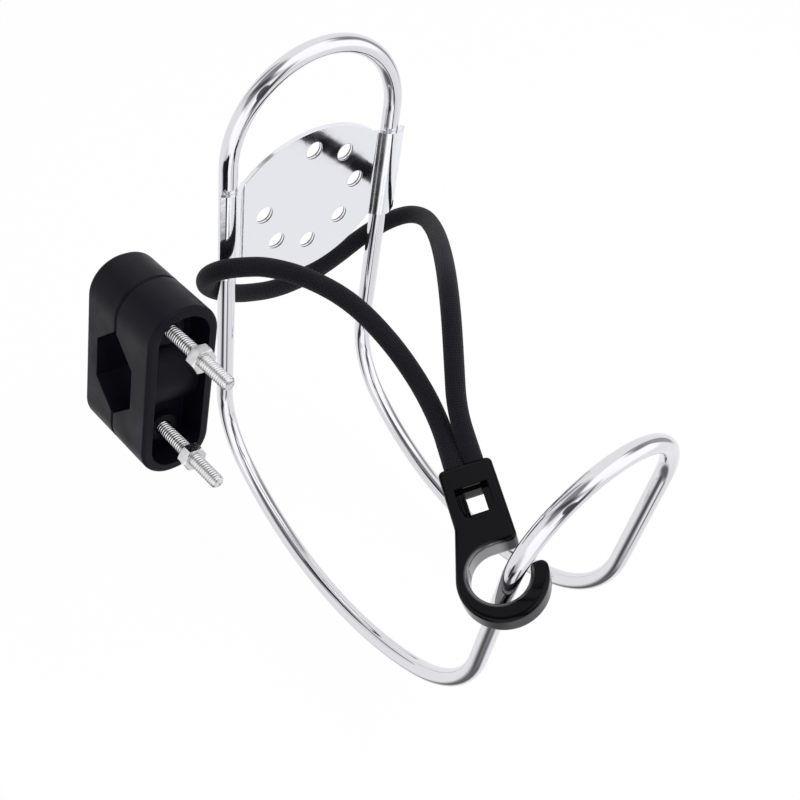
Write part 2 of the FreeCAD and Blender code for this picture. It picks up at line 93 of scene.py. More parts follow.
# The cord's route, its points in millimetres
CORD_ROUTE = (
    (-14.1, -115.5, -35.5),
    (-12.4, -98.1, -26.9),
    (-14.3, -78.2, -17.2),
    (-18.8, -57.2, -9.9),
    (-26.9, -37.2, -8.0),
    (-36.2, -21.4, -9.6),
    (-44.8, -15.0, -10.6),
    (-52.3, -9.7, -12.6),
    (-54.8, -3.6, -19.2),
    (-52.8, 2.6, -29.0),
    (-48.4, 7.0, -38.3),
    (-41.2, 8.9, -46.0),
    (-31.5, 9.3, -52.5),
    (-23.4, 9.4, -56.2),
    (-11.0, 9.4, -60.6),
    (1.6, 9.4, -62.3),
    (15.6, 9.2, -61.2),
    (30.0, 9.2, -57.0),
    (44.4, 9.2, -51.1),
    (56.7, 6.4, -45.0),
    (63.8, -1.5, -37.2),
    (64.2, -12.5, -31.6),
    (57.5, -25.5, -25.9),
    (46.9, -40.0, -18.0),
    (33.2, -57.0, -9.0),
    (18.1, -75.5, -1.6),
    (6.0, -92.3, -3.4),
    (-2.2, -105.8, -13.9),
    (-9.7, -118.9, -26.4),
)

# Cord hook, in millimetres, its axes as directions
HOOK_PULL = (0.416, 0.904, 0.096)
HOOK_FACE = (-0.358, 0.066, 0.931)
HOOK_LENGTH = 50.6
HOOK_INNER_R = 12.0
HOOK_HANG_Z = -45.0
HOOK_SEAT = 1.25
HOOK_OFFSET = 0.5
EYE_REFLECTION_FROM = 1.9              # outside the wall of the eye, where the painted reflection sets in
EYE_REFLECTION_FULL = 0.4
PLAIN_SHINE = "#1E1E1E"         # what the moulded acetal mirrors straight on, as a colour
PAINTED_EYE_REFLECTION = "#868686"     # painted reflection on the eye's wall, as a colour

# Rail clamp, in millimetres and degrees
CLAMP_CENTRE = (-100.5, -28.0, -26.3)
CLAMP_YAW = 0.6
CLAMP_PITCH = 9.1
CLAMP_ROLL = -5.5

# Bolts, in millimetres and degrees
BOLT_SPACING = 50.0
BOLT_D = 6.0
BOLT_SIDES = 48
BOLT_REACH = 53.5
BOLT_END_CHAMFER = 0.8
BACK_JAW_DEPTH = 20.9
HEAD_AF = 10.0
HEAD_H = 4.0
HEAD_FACE_INSET = 0.15
HEAD_CHAMFER_ANGLE = 30.0
RINGS_A_TURN = 12               # of the thread
CREST_CUT = 0.30                # the wave rises past the crest by this share of the depth, cut flat

# Studio that metal and gloss mirror: the level of its walls, then ellipses laid over them,
# each as azimuth, elevation, half width, half height and roll in degrees, level and softness
STUDIO_LEVEL = 0.97
STUDIO_PATCHES = (
    (-54, 33, 38, 50, 25, 1.3, 0.1),          # large soft box in front to the right
    (-111, -5, 33, 58, -58, 1.25, 0.1),       # white card in front to the left
    (-157, 4, 21, 18, -43, 1.3, 0.15),        # the card's outer end
    (-178, 55, 29, 28, 88, 0.3, 0.2),         # grey ceiling above it
    (-154, 51, 43, 7, -3, 0.07, 0.8),         # dark edge of the ceiling
    (-108, 19, 25, 6, -45, 0.1, 0.1),         # gap between the card and the box
    (-80, -14, 16, 3, 15, 0.02, 0.8),         # the gap's lower end
    (-2, 15, 12, 40, -7, 0.4, 0.15),          # grey wall to the right
    (-163, -53, 17, 29, 3, 0.1, 0.8),         # dark stand under the camera
    (-139, -74, 26, 12, 33, 0.15, 0.5),       # and its foot
    (110, 35, 7.5, 30, -4, 0.35, 0.1),        # grey wall behind
    (122, 53, 19, 6.5, -68, 0.85, 0.1),       # its lit upper end
    (-68, -42, 30, 15, -31, 0.92, 0.1),       # table in front
    (-83, -4, 7.5, 24, -3, 0.1, 0.6),         # the box's dark frame
    (-14, 33, 10, 14, 32, 0.25, 0.8),         # the right wall's dark edge
    (-131, -48, 14, 4, -23, 0.94, 0.1),       # rim of the table
    (-105, -47, 11, 4.5, -37, 0.25, 0.1),     # dark line at the table's end
    (-174, -40, 25, 5.5, -3, 0.03, 0.25),     # dark shelf to the left
    (174, -35, 11, 12, -48, 0.8, 0.1),        # lit things on it
    (177, -34, 9, 9.5, -1, 0.05, 0.15),       # and the shade between them
    (-93, 1, 14, 10, -30, 0.07, 0.5),         # where the gap meets the box's frame
)

# Soft boxes that light the matt surfaces: place, width and height in metres, power in watts
LAMP_AIM = (-0.02, -0.08, -0.05)
LAMPS = (
    ("key_box", (0.55, -0.85, 1.00), 1.5, 1.2, 12.0),
    ("card_box", (-0.95, -0.80, 0.30), 1.0, 0.8, 2.0),
    ("top_box", (0.05, -0.25, 1.35), 1.2, 1.0, 12.0),
)

# Camera: where it stands, in millimetres, its turn in degrees, and its lens
CAMERA_AT = (-266.8, -324.18, 334.08)
CAMERA_TURN = (41.80, -6.95, -39.553)
CAMERA_LENS = 53.04
CAMERA_SENSOR = 36.0


def srgb(hex_colour):
    """The red, green and blue of a hex colour, each from 0 to 1."""
    return [int(hex_colour[i:i + 2], 16) / 255 for i in (1, 3, 5)]


def as_hex(colour):
    """A colour setting, kept as sRGB, written as hex."""
    return "#%02X%02X%02X" % tuple(int(round(255 * c)) for c in colour)


def linear(hex_colour):
    """sRGB hex to linear with full alpha: v/12.92 below 0.04045, else ((v+0.055)/1.055)^2.4."""
    values = [v / 12.92 if v <= 0.04045 else ((v + 0.055) / 1.055) ** 2.4 for v in srgb(hex_colour)]
    return (*values, 1.0)


def unit(vectors):
    """Each vector divided by its own length."""
    vectors = np.asarray(vectors, float)
    return vectors / np.linalg.norm(vectors, axis=-1, keepdims=True)


def level_axes(direction):
    """3x3 turn whose third axis is the direction and whose first axis lies level."""
    third = unit(direction)
    first = unit(np.cross((0.0, 0.0, 1.0), third))
    return Matrix(np.stack([first, np.cross(third, first), third], axis=1).tolist())


def add_node(tree, kind, settings=None, **inputs):
    """A shader node with its settings, its socket values and its links in.

    A socket is named with _ for a space, or given as i and its number.
    """
    node = tree.nodes.new(kind)
    for key, value in (settings or {}).items():
        setattr(node, key, value)
    for key, value in inputs.items():
        numbered = key[0] == "i" and key[1:].isdigit()
        socket = node.inputs[int(key[1:]) if numbered else key.replace("_", " ")]
        if isinstance(value, bpy.types.NodeSocket):
            tree.links.new(value, socket)
        else:
            socket.default_value = value
    return node


def new_material(name, hex_colour, roughness, metallic=0.0):
    """A material with one Principled shader, ready for its patterns."""
    material = bpy.data.materials.new(name)
    material.use_nodes = True
    tree = material.node_tree
    shader = tree.nodes["Principled BSDF"]
    shader.inputs["Base Color"].default_value = linear(hex_colour)
    shader.inputs["Roughness"].default_value = roughness
    shader.inputs["Metallic"].default_value = metallic
    return material, tree, shader


def grid_object(name, points, wrap_u=False, wrap_v=True):
    """Mesh of quads over a grid of points, its rows u and columns v, wrapped where asked."""
    rows, columns = points.shape[:2]
    index = np.arange(rows * columns).reshape(rows, columns)
    if wrap_u:
        index = np.concatenate([index, index[:1]], axis=0)
    if wrap_v:
        index = np.concatenate([index, index[:, :1]], axis=1)
    quads = np.stack([index[:-1, :-1], index[:-1, 1:], index[1:, 1:], index[1:, :-1]], axis=-1)
    mesh = bpy.data.meshes.new(name)
    mesh.from_pydata((points.reshape(-1, 3) * MM).tolist(), [], quads.reshape(-1, 4).tolist())
    mesh.polygons.foreach_set("use_smooth", np.ones(len(mesh.polygons), bool))
    mesh.update()
    piece = bpy.data.objects.new(name, mesh)
    bpy.context.scene.collection.objects.link(piece)
    return piece


def dress(node_name, material):
    """Gives a CAD node one material in place of its own."""
    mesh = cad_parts[node_name].data
    mesh.materials.clear()
    mesh.materials.append(material)


# Rod


def heading(degrees):
    """Direction in a leg's plane: (0, -cos a, sin a), so -90 is down and 0 is forward."""
    a = np.radians(degrees)
    return np.stack([np.zeros_like(a), -np.cos(a), np.sin(a)], axis=-1)


def leg_line():
    """One leg's centreline from the arch to the lip arch, where it ends, and its last direction.

    Runs are straight, and each bend is c - R·n(a) about its centre c.
    """
    start = np.array([0.0, ROD_Y, TOP_ARCH_Z])
    point = np.array([0.0, ROD_Y, LEG_BOTTOM_Z])
    steps = int((TOP_ARCH_Z - LEG_BOTTOM_Z) / ROD_STEP)
    parts = [start + (point - start) * np.linspace(0, 1, steps, endpoint=False)[:, None]]
    angle = -90.0
    for radius, turn in SIDE_BENDS:
        centre = point + heading(np.array(angle + 90.0)) * radius
        count = int(math.radians(turn) * radius / ROD_STEP)
        angles = angle + np.linspace(0, turn, count, endpoint=False)
        parts.append(centre - heading(angles + 90.0) * radius)
        angle += turn
        point = centre - heading(np.array(angle + 90.0)) * radius
    rise = heading(np.array(angle))
    steps = int(LIP_LENGTH / ROD_STEP)
    parts.append(point + rise * LIP_LENGTH * np.linspace(0, 1, steps, endpoint=False)[:, None])
    return np.concatenate(parts), point + rise * LIP_LENGTH, rise


def frame_loop():
    """The rod's closed centreline and, at each point, the direction out of the loop.

    Each arch is c + R(cos t · x + sin t · up), and the legs lie at x = -R and x = R.
    """
    side = np.array([1.0, 0.0, 0.0])
    radius = LEG_SPACING / 2
    leg, lip_centre, lip_up = leg_line()
    count = int(math.pi * radius / ROD_STEP)
    t = np.linspace(0, math.pi, count, endpoint=False)[:, None]
    top_out = np.cos(t) * side + np.sin(t) * np.array([0.0, 0.0, 1.0])
    top = np.array([0.0, ROD_Y, TOP_ARCH_Z]) + radius * top_out
    left = leg - side * radius
    lip_out = -np.cos(t) * side + np.sin(t) * lip_up
    lip = lip_centre + radius * lip_out
    right_leg = np.concatenate([leg[1:], lip_centre[None, :]])[::-1]
    right = right_leg + side * radius
    points = np.concatenate([top, left, lip, right])
    outward = np.concatenate([
        top_out,
        np.tile(-side, (len(left), 1)),
        lip_out,
        np.tile(side, (len(right), 1)),
    ])
    return points, outward


def round_tube(points, outward, along, radius, around):
    """Tube surface: p + r(cos f · n + sin f · b), for a line's points p and outward directions n.

    The direction b is square to the line and to n, and f goes once round.
    """
    across = unit(np.cross(along, outward))
    f = np.linspace(0, 2 * math.pi, around, endpoint=False)[None, :, None]
    ring = np.cos(f) * outward[:, None, :] + np.sin(f) * across[:, None, :]
    return points[:, None, :] + radius * ring


def polished_rod_material(look):
    """Mirror-polished stainless rod: drawn, then buffed, so only long faint waves are left."""
    material, tree, shader = new_material(
        "mirror_polished_stainless_rod", "#E4E4E6", look.rod_roughness, 1.0)
    where = add_node(tree, "ShaderNodeTexCoord")
    # drawing waves of about 25 mm
    waves = add_node(
        tree, "ShaderNodeTexNoise", Vector=where.outputs["Object"], Scale=40.0, Detail=2.0)
    bump = add_node(
        tree, "ShaderNodeBump", Strength=0.015, Distance=0.001, Height=waves.outputs["Fac"])
    tree.links.new(bump.outputs["Normal"], shader.inputs["Normal"])
    return material


# Mounting plate


def sleeve_normal(tree, where, flat):
    """Normal of the rolled sleeves: straight out from the leg's axis, and the given one elsewhere.

    The sheet is still a little bowed where it runs from the web to the rod, so its normal
    there is the direction from the axis too. Only faces that look that way are bowed.
    """
    split = add_node(tree, "ShaderNodeSeparateXYZ", Vector=where.outputs["Object"])
    off = add_node(tree, "ShaderNodeMath", {"operation": "ABSOLUTE"}, i0=split.outputs["X"])
    past = add_node(
        tree, "ShaderNodeMath", {"operation": "SUBTRACT"}, i0=off.outputs[0], i1=LEG_SPACING / 2 * MM)
    hand = add_node(tree, "ShaderNodeMath", {"operation": "SIGN"}, i0=split.outputs["X"])
    x = add_node(tree, "ShaderNodeMath", {"operation": "MULTIPLY"}, i0=past.outputs[0], i1=hand.outputs[0])
    y = add_node(tree, "ShaderNodeMath", {"operation": "SUBTRACT"}, i0=split.outputs["Y"], i1=ROD_Y * MM)
    out = add_node(tree, "ShaderNodeCombineXYZ", X=x.outputs[0], Y=y.outputs[0])
    radial = add_node(tree, "ShaderNodeVectorMath", {"operation": "NORMALIZE"}, i0=out.outputs[0])
    agreement = add_node(
        tree, "ShaderNodeVectorMath", {"operation": "DOT_PRODUCT"},
        i0=radial.outputs[0], i1=where.outputs["Normal"])
    agrees = add_node(
        tree, "ShaderNodeMath", {"operation": "GREATER_THAN"},
        i0=agreement.outputs["Value"], i1=SLEEVE_AGREEMENT)
    front = add_node(
        tree, "ShaderNodeMath", {"operation": "LESS_THAN"}, i0=split.outputs["Y"], i1=SLEEVE_FROM_Y * MM)
    inside = add_node(
        tree, "ShaderNodeMath", {"operation": "LESS_THAN"}, i0=past.outputs[0], i1=SLEEVE_TO_X * MM)
    both = add_node(
        tree, "ShaderNodeMath", {"operation": "MULTIPLY"}, i0=agrees.outputs[0], i1=front.outputs[0])
    share = add_node(
        tree, "ShaderNodeMath", {"operation": "MULTIPLY"}, i0=both.outputs[0], i1=inside.outputs[0])
    mixed = add_node(
        tree, "ShaderNodeMix", {"data_type": "VECTOR"}, i0=share.outputs[0], i4=flat, i5=radial.outputs[0])
    return mixed.outputs[1]


def tone_with_painted_hole_reflection(tree, where):
    """The sheet's colour, with a painted dark reflection as a line along both edges of a hole's wall.

    The line is where the normal lies in the sheet's plane, near enough to the plate's centre
    to be a hole's, and away from the middle of the sheet.
    """
    normal = add_node(tree, "ShaderNodeSeparateXYZ", Vector=where.outputs["Normal"])
    facing = add_node(tree, "ShaderNodeMath", {"operation": "ABSOLUTE"}, i0=normal.outputs["Y"])
    wall = add_node(tree, "ShaderNodeMapRange", Value=facing.outputs[0], i1=0.9, i2=0.4)
    reach = add_node(tree, "ShaderNodeVectorMath", {"operation": "LENGTH"}, i0=where.outputs["Object"])
    near = add_node(
        tree, "ShaderNodeMath", {"operation": "LESS_THAN"}, i0=reach.outputs["Value"], i1=HOLES_WITHIN * MM)
    place = add_node(tree, "ShaderNodeSeparateXYZ", Vector=where.outputs["Object"])
    depth = add_node(
        tree, "ShaderNodeMath", {"operation": "ADD"}, i0=place.outputs["Y"], i1=PLATE_T / 2 * MM)
    off_middle = add_node(tree, "ShaderNodeMath", {"operation": "ABSOLUTE"}, i0=depth.outputs[0])
    line = add_node(
        tree, "ShaderNodeMapRange", Value=off_middle.outputs[0],
        i1=HOLE_REFLECTION_FROM * MM, i2=HOLE_REFLECTION_FULL * MM)
    hole = add_node(
        tree, "ShaderNodeMath", {"operation": "MULTIPLY"}, i0=wall.outputs["Result"], i1=near.outputs[0])
    share = add_node(
        tree, "ShaderNodeMath", {"operation": "MULTIPLY"}, i0=hole.outputs[0], i1=line.outputs["Result"])
    # painted dark reflection mixed into the sheet's colour at the holes' edges
    tone = add_node(
        tree, "ShaderNodeMix", {"data_type": "RGBA"},
        i0=share.outputs[0], i6=linear(SHEET_TONE), i7=linear(HOLE_PAINTED_REFLECTION))
    return tone.outputs[2]


def plate_material(look):
    """Polished stainless sheet: punched, rolled and buffed, bright with faint cloudy marks."""
    material, tree, shader = new_material("polished_stainless_sheet", SHEET_TONE, look.sheet_roughness, 1.0)
    where = add_node(tree, "ShaderNodeTexCoord")
    tree.links.new(tone_with_painted_hole_reflection(tree, where), shader.inputs["Base Color"])
    # clouds of about 6 mm where the buffing wheel left the sheet duller
    clouds = add_node(
        tree, "ShaderNodeTexNoise", Vector=where.outputs["Object"], Scale=160.0, Detail=6.0)
    rough = add_node(
        tree, "ShaderNodeMapRange", Value=clouds.outputs["Fac"],
        i1=0.35, i2=0.75, i3=look.sheet_roughness, i4=look.sheet_roughness * 2.2)
    tree.links.new(rough.outputs["Result"], shader.inputs["Roughness"])
    # edges broken by about 0.4 mm
    edge = add_node(tree, "ShaderNodeBevel", {"samples": 6}, Radius=0.0004)
    bump = add_node(
        tree, "ShaderNodeBump", Strength=0.03, Distance=0.001, Height=clouds.outputs["Fac"],
        Normal=sleeve_normal(tree, where, edge.outputs["Normal"]))
    tree.links.new(bump.outputs["Normal"], shader.inputs["Normal"])
    return material


# Cord


def hook_axes():
    """Across, pull and face directions of the hook, and the centre of its loop, in millimetres."""
    pull = unit(HOOK_PULL)
    face = np.array(HOOK_FACE)
    face = unit(face - pull * (face @ pull))
    across = np.cross(pull, face)
    _, lip_centre, rise = leg_line()
    lip = lip_centre + np.array([-LEG_SPACING / 2, 0, 0])
    lip = lip + rise * ((HOOK_HANG_Z - lip[2]) / rise[2])
    hang = HOOK_INNER_R - ROD_D / 2 - HOOK_SEAT
    return across, pull, face, lip + across * HOOK_OFFSET + pull * hang


def cord_control_points():
    """Route from one socket of the hook round both legs to the other socket.

    Each end is a point at the socket's floor and one past its mouth, where the strands touch.
    """
    across, pull, face, centre = hook_axes()
    floor = HOOK_LENGTH - SOCKET_DEPTH
    out = HOOK_LENGTH + SOCKET_EXIT
    half = CORD_PITCH / 2
    lean = across * (half - STRANDS_CLOSE_UP) + face * STRANDS_OFFSET
    left = [centre - across * half + pull * floor, centre - lean + pull * out]
    right = [centre + lean + pull * out, centre + across * half + pull * floor]
    return np.concatenate([left, np.array(CORD_ROUTE), right])


def smooth_line(control):
    """Points read from a NURBS spline that has the route's points as its control points."""
    curve = bpy.data.curves.new("cord_line", "CURVE")
    curve.dimensions = "3D"
    curve.resolution_u = 24
    spline = curve.splines.new("NURBS")
    spline.points.add(len(control) - 1)
    padded = np.concatenate([control * MM, np.ones((len(control), 1))], axis=1)
    spline.points.foreach_set("co", padded.ravel())
    spline.order_u = 3
    spline.use_endpoint_u = True
    holder = bpy.data.objects.new("cord_line", curve)
    bpy.context.scene.collection.objects.link(holder)
    bpy.context.view_layer.update()
    mesh = bpy.data.meshes.new_from_object(holder)
    line = np.zeros(len(mesh.vertices) * 3)
    mesh.vertices.foreach_get("co", line)
    bpy.data.objects.remove(holder)
    bpy.data.meshes.remove(mesh)
    bpy.data.curves.remove(curve)
    return line.reshape(-1, 3) / MM


def even_steps(line, step):
    """The line again with a point every step along its length, and the length up to each point."""
    gaps = np.linalg.norm(np.diff(line, axis=0), axis=1)
    line = line[np.concatenate([[True], gaps > 1e-6])]
    gaps = np.linalg.norm(np.diff(line, axis=0), axis=1)
    travelled = np.concatenate([[0], np.cumsum(gaps)])
    count = int(round(travelled[-1] / step))
    wanted = np.linspace(0, travelled[-1], count + 1)
    return np.stack([np.interp(wanted, travelled, line[:, k]) for k in range(3)], axis=1), wanted


def cord_material(look):
    """Braided polyester sheath over rubber: matt black, with fine crossing strands."""
    material, tree, shader = new_material("braided_polyester_sheath", SHEATH_LIGHT, 0.82)
    shader.inputs["Sheen Weight"].default_value = 0.08
    shader.inputs["Sheen Roughness"].default_value = 0.45
    shader.inputs["Specular IOR Level"].default_value = 0.22
    where = add_node(tree, "ShaderNodeUVMap", {"uv_map": "sheath"})
    split = add_node(tree, "ShaderNodeSeparateXYZ", Vector=where.outputs["UV"])
    turns = add_node(
        tree, "ShaderNodeMath", {"operation": "MULTIPLY"}, i0=split.outputs["X"], i1=2 * math.pi)
    # strands of both hands cross every strand_pitch along the cord
    rise = add_node(
        tree, "ShaderNodeMath", {"operation": "MULTIPLY"},
        i0=split.outputs["Y"], i1=2 * math.pi / look.strand_pitch)
    waves = []
    for strands in (look.strands, -look.strands):
        phase = add_node(
            tree, "ShaderNodeMath", {"operation": "MULTIPLY_ADD"},
            i0=turns.outputs[0], i1=float(strands), i2=rise.outputs[0])
        waves.append(add_node(tree, "ShaderNodeMath", {"operation": "SINE"}, i0=phase.outputs[0]))
    weave = add_node(
        tree, "ShaderNodeMath", {"operation": "MULTIPLY"}, i0=waves[0].outputs[0], i1=waves[1].outputs[0])
    bump = add_node(tree, "ShaderNodeBump", Strength=0.55, Distance=0.0003, Height=weave.outputs[0])
    tree.links.new(bump.outputs["Normal"], shader.inputs["Normal"])
    # base colour darker where the braid is low and lighter where it is high: painted shade in the hollows
    lit = add_node(tree, "ShaderNodeMapRange", Value=weave.outputs[0], i1=-1.0, i2=1.0)
    shade = add_node(
        tree, "ShaderNodeMix", {"data_type": "RGBA"},
        i0=lit.outputs["Result"], i6=linear(SHEATH_HOLLOW_SHADE), i7=linear(SHEATH_LIGHT))
    tree.links.new(shade.outputs[2], shader.inputs["Base Color"])
    return material


def build_cord(look):
    """Sheath swept along the cord's line, with a UV map of turns round it and metres along it."""
    line, travelled = even_steps(smooth_line(cord_control_points()), CORD_STEP)
    along = unit(np.gradient(line, axis=0))
    # a fixed direction never in line with the cord keeps the rings from twisting much
    outward = unit(np.cross(np.cross(along, np.array([0.25, -0.35, 0.90])), along))
    surface = round_tube(line, outward, along, CORD_D / 2, CORD_SIDES)
    piece = grid_object("shock_cord_sheath", surface)
    row, column = np.indices((len(line) - 1, CORD_SIDES))
    turn = np.stack([column, column + 1, column + 1, column], axis=-1) / CORD_SIDES
    length = travelled[np.stack([row, row, row + 1, row + 1], axis=-1)] * MM
    uv = np.stack([turn, length], axis=-1)
    piece.data.uv_layers.new(name="sheath").data.foreach_set("uv", uv.ravel())
    piece.data.materials.append(cord_material(look))
    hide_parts("shock_cord")
    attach(piece, "holder")


# Hook and clamp


def hook_material(look):
    """Injection-moulded acetal, black and glossy straight from a polished mould.

    A grey metallic shine is painted on the wall of the eye, a painted reflection. The distance from the
    eye's axis, the length of (p - c) x axis, tells that wall from the rest, and the painted reflection
    grows towards it from the acetal's own shine.
    """
    colour = as_hex(look.hook_colour)
    material, tree, shader = new_material("glossy_moulded_acetal", colour, look.hook_roughness)
    shader.inputs["Specular IOR Level"].default_value = 0.16
    where = add_node(tree, "ShaderNodeTexCoord")
    _, _, face, centre = hook_axes()
    from_eye = add_node(
        tree, "ShaderNodeVectorMath", {"operation": "SUBTRACT"}, i0=where.outputs["Object"], i1=centre * MM)
    off_axis = add_node(
        tree, "ShaderNodeVectorMath", {"operation": "CROSS_PRODUCT"}, i0=from_eye.outputs["Vector"], i1=face)
    distance = add_node(
        tree, "ShaderNodeVectorMath", {"operation": "LENGTH"}, i0=off_axis.outputs["Vector"])
    reflection_share = add_node(
        tree, "ShaderNodeMapRange", Value=distance.outputs["Value"],
        i1=(HOOK_INNER_R + EYE_REFLECTION_FROM) * MM, i2=(HOOK_INNER_R + EYE_REFLECTION_FULL) * MM)
    # painted reflection: a grey metallic shine on the eye's wall, in place of the acetal's own
    painted_shine = add_node(
        tree, "ShaderNodeMix", {"data_type": "RGBA"},
        i0=reflection_share.outputs["Result"], i6=linear(PLAIN_SHINE), i7=linear(PAINTED_EYE_REFLECTION))
    reflection_zone = add_node(
        tree, "ShaderNodeMath", {"operation": "GREATER_THAN"}, i0=reflection_share.outputs["Result"], i1=0.0)
    tree.links.new(reflection_zone.outputs[0], shader.inputs["Metallic"])
    tone = add_node(
        tree, "ShaderNodeMix", {"data_type": "RGBA"},
        i0=reflection_zone.outputs[0], i6=linear(colour), i7=painted_shine.outputs[2])
    tree.links.new(tone.outputs[2], shader.inputs["Base Color"])
    # flow marks of about 4 mm
    flow = add_node(tree, "ShaderNodeTexNoise", Vector=where.outputs["Object"], Scale=250.0, Detail=2.0)
    edge = add_node(tree, "ShaderNodeBevel", {"samples": 8}, Radius=0.0006)
    bump = add_node(
        tree, "ShaderNodeBump", Strength=0.03, Distance=0.0005,
        Height=flow.outputs["Fac"], Normal=edge.outputs["Normal"])
    tree.links.new(bump.outputs["Normal"], shader.inputs["Normal"])
    return material


def clamp_material(look):
    """Glass-filled nylon from a fine spark-eroded mould: charcoal, satin, with a fine grain."""
    roughness = look.clamp_roughness
    material, tree, shader = new_material(
        "moulded_glass_filled_nylon", as_hex(look.clamp_colour), roughness)
    shader.inputs["Specular IOR Level"].default_value = 0.12
    where = add_node(tree, "ShaderNodeTexCoord")
    # mould grain of about 0.4 mm
    grain = add_node(tree, "ShaderNodeTexNoise", Vector=where.outputs["Object"], Scale=2600.0, Detail=2.0)
    # cloudy scuffs of about 11 mm
    scuff = add_node(tree, "ShaderNodeTexNoise", Vector=where.outputs["Object"], Scale=90.0, Detail=5.0)
    rough = add_node(
        tree, "ShaderNodeMapRange", Value=scuff.outputs["Fac"],
        i1=0.3, i2=0.7, i3=roughness - 0.08, i4=roughness + 0.10)
    tree.links.new(rough.outputs["Result"], shader.inputs["Roughness"])
    edge = add_node(tree, "ShaderNodeBevel", {"samples": 6}, Radius=0.0006)
    bump = add_node(
        tree, "ShaderNodeBump", Strength=0.18, Distance=0.0002,
        Height=grain.outputs["Fac"], Normal=edge.outputs["Normal"])
    tree.links.new(bump.outputs["Normal"], shader.inputs["Normal"])
    return material


def clamp_axes():
    """The clamp's turn as a 3x3: Rz(yaw) · Ry(pitch) · Rx(roll)."""
    turn = Matrix.Rotation(math.radians(CLAMP_YAW), 3, "Z")
    turn = turn @ Matrix.Rotation(math.radians(CLAMP_PITCH), 3, "Y")
    return np.array(turn @ Matrix.Rotation(math.radians(CLAMP_ROLL), 3, "X"))


# Bolts and nuts


def hexagon_radius(f, across_flats):
    """Distance to the flat at angle f: half the width over the cosine of the angle to its middle."""
    to_middle = (f + math.pi / 6) % (math.pi / 3) - math.pi / 6
    return across_flats / 2 / np.cos(to_middle)


def bolt_surface(look):
    """Bolt along -y from its head: profile rings of radius and depth, turned about the y axis.

    The thread's radius is r - d·k(s/p - f/2pi), with k a wave between 0 and 1 whose crest is
    cut flat. The head's chamfer drops by the slope times the distance outside its round face.
    """
    pitch = look.thread_pitch / MM
    radius = BOLT_D / 2
    seat = BACK_JAW_DEPTH - HEAD_H
    f = np.linspace(0, 2 * math.pi, BOLT_SIDES, endpoint=False)[None, :]
    hexagon = hexagon_radius(f + math.pi / 2, HEAD_AF)
    round_face = HEAD_AF / 2 - HEAD_FACE_INSET
    drop = np.maximum(hexagon - round_face, 0) * math.tan(math.radians(HEAD_CHAMFER_ANGLE))
    head_r = np.concatenate([0 * f, 0 * f + round_face, hexagon, hexagon, 0 * f + radius])
    head_y = np.concatenate([
        0 * f + BACK_JAW_DEPTH,
        0 * f + BACK_JAW_DEPTH,
        BACK_JAW_DEPTH - drop,
        0 * f + seat,
        0 * f + seat,
    ])
    y = np.arange(seat, -BOLT_REACH, -pitch / RINGS_A_TURN)[:, None]
    phase = (y / pitch - f / (2 * math.pi)) % 1.0
    wave = 0.5 - 0.5 * np.cos(2 * math.pi * phase)
    tooth = np.clip((1 + CREST_CUT) * wave - CREST_CUT, 0, 1)
    cut = np.clip((-look.thread_start / MM - y) / pitch, 0, 1)
    chamfer = radius - BOLT_END_CHAMFER + (y + BOLT_REACH)
    shank_r = np.minimum(radius - look.thread_depth / MM * tooth * cut, chamfer)
    end_r = np.concatenate([0 * f + radius - BOLT_END_CHAMFER, 0 * f])
    end_y = np.full((2, BOLT_SIDES), -BOLT_REACH)
    r = np.concatenate([head_r, shank_r, end_r])
    depth = np.concatenate([head_y, np.repeat(y, BOLT_SIDES, axis=1), end_y])
    return np.stack([r * np.cos(f), depth, r * np.sin(f)], axis=-1)


def steel_material(name, hex_colour, roughness, marks_a_metre):
    """Bright zinc-plated steel, rolled or turned: soft-edged shine with faint marks, no mirror."""
    material, tree, shader = new_material(name, hex_colour, roughness, 1.0)
    where = add_node(tree, "ShaderNodeTexCoord")
    marks = add_node(
        tree, "ShaderNodeTexNoise", Vector=where.outputs["Object"], Scale=marks_a_metre, Detail=3.0)
    rough = add_node(
        tree, "ShaderNodeMapRange", Value=marks.outputs["Fac"],
        i1=0.3, i2=0.7, i3=roughness * 0.7, i4=roughness * 1.4)
    tree.links.new(rough.outputs["Result"], shader.inputs["Roughness"])
    bump = add_node(
        tree, "ShaderNodeBump", Strength=0.02, Distance=0.0003, Height=marks.outputs["Fac"])
    tree.links.new(bump.outputs["Normal"], shader.inputs["Normal"])
    return material


# Settings


class MetalLook(bpy.types.PropertyGroup):
    """Finish of the rod and the plate"""
    rod_roughness: FloatProperty(
        name="Rod roughness", description="Roughness of the polished rod",
        default=0.05, min=0, max=1, subtype="FACTOR")
    sheet_roughness: FloatProperty(
        name="Sheet roughness", description="Roughness of the polished sheet",
        default=0.07, min=0, max=1, subtype="FACTOR")


class CordLook(bpy.types.PropertyGroup):
    """Braid of the cord's sheath"""
    strands: IntProperty(
        name="Strands", description="Strands each way round the sheath", default=14, min=4, max=64)
    strand_pitch: FloatProperty(
        name="Strand pitch", description="Length along the cord between crossings",
        default=0.0022, unit="LENGTH")


class MouldedLook(bpy.types.PropertyGroup):
    """Colour and finish of the moulded hook and clamp"""
    hook_colour: FloatVectorProperty(
        name="Hook colour", description="Moulded colour of the hook",
        subtype="COLOR_GAMMA", default=srgb("#020204"))
    hook_roughness: FloatProperty(
        name="Hook roughness", description="Roughness of the hook",
        default=0.12, min=0, max=1, subtype="FACTOR")
    clamp_colour: FloatVectorProperty(
        name="Clamp colour", description="Moulded colour of the clamp",
        subtype="COLOR_GAMMA", default=srgb("#0D0D15"))
    clamp_roughness: FloatProperty(
        name="Clamp roughness", description="Roughness of the clamp",
        default=0.42, min=0, max=1, subtype="FACTOR")


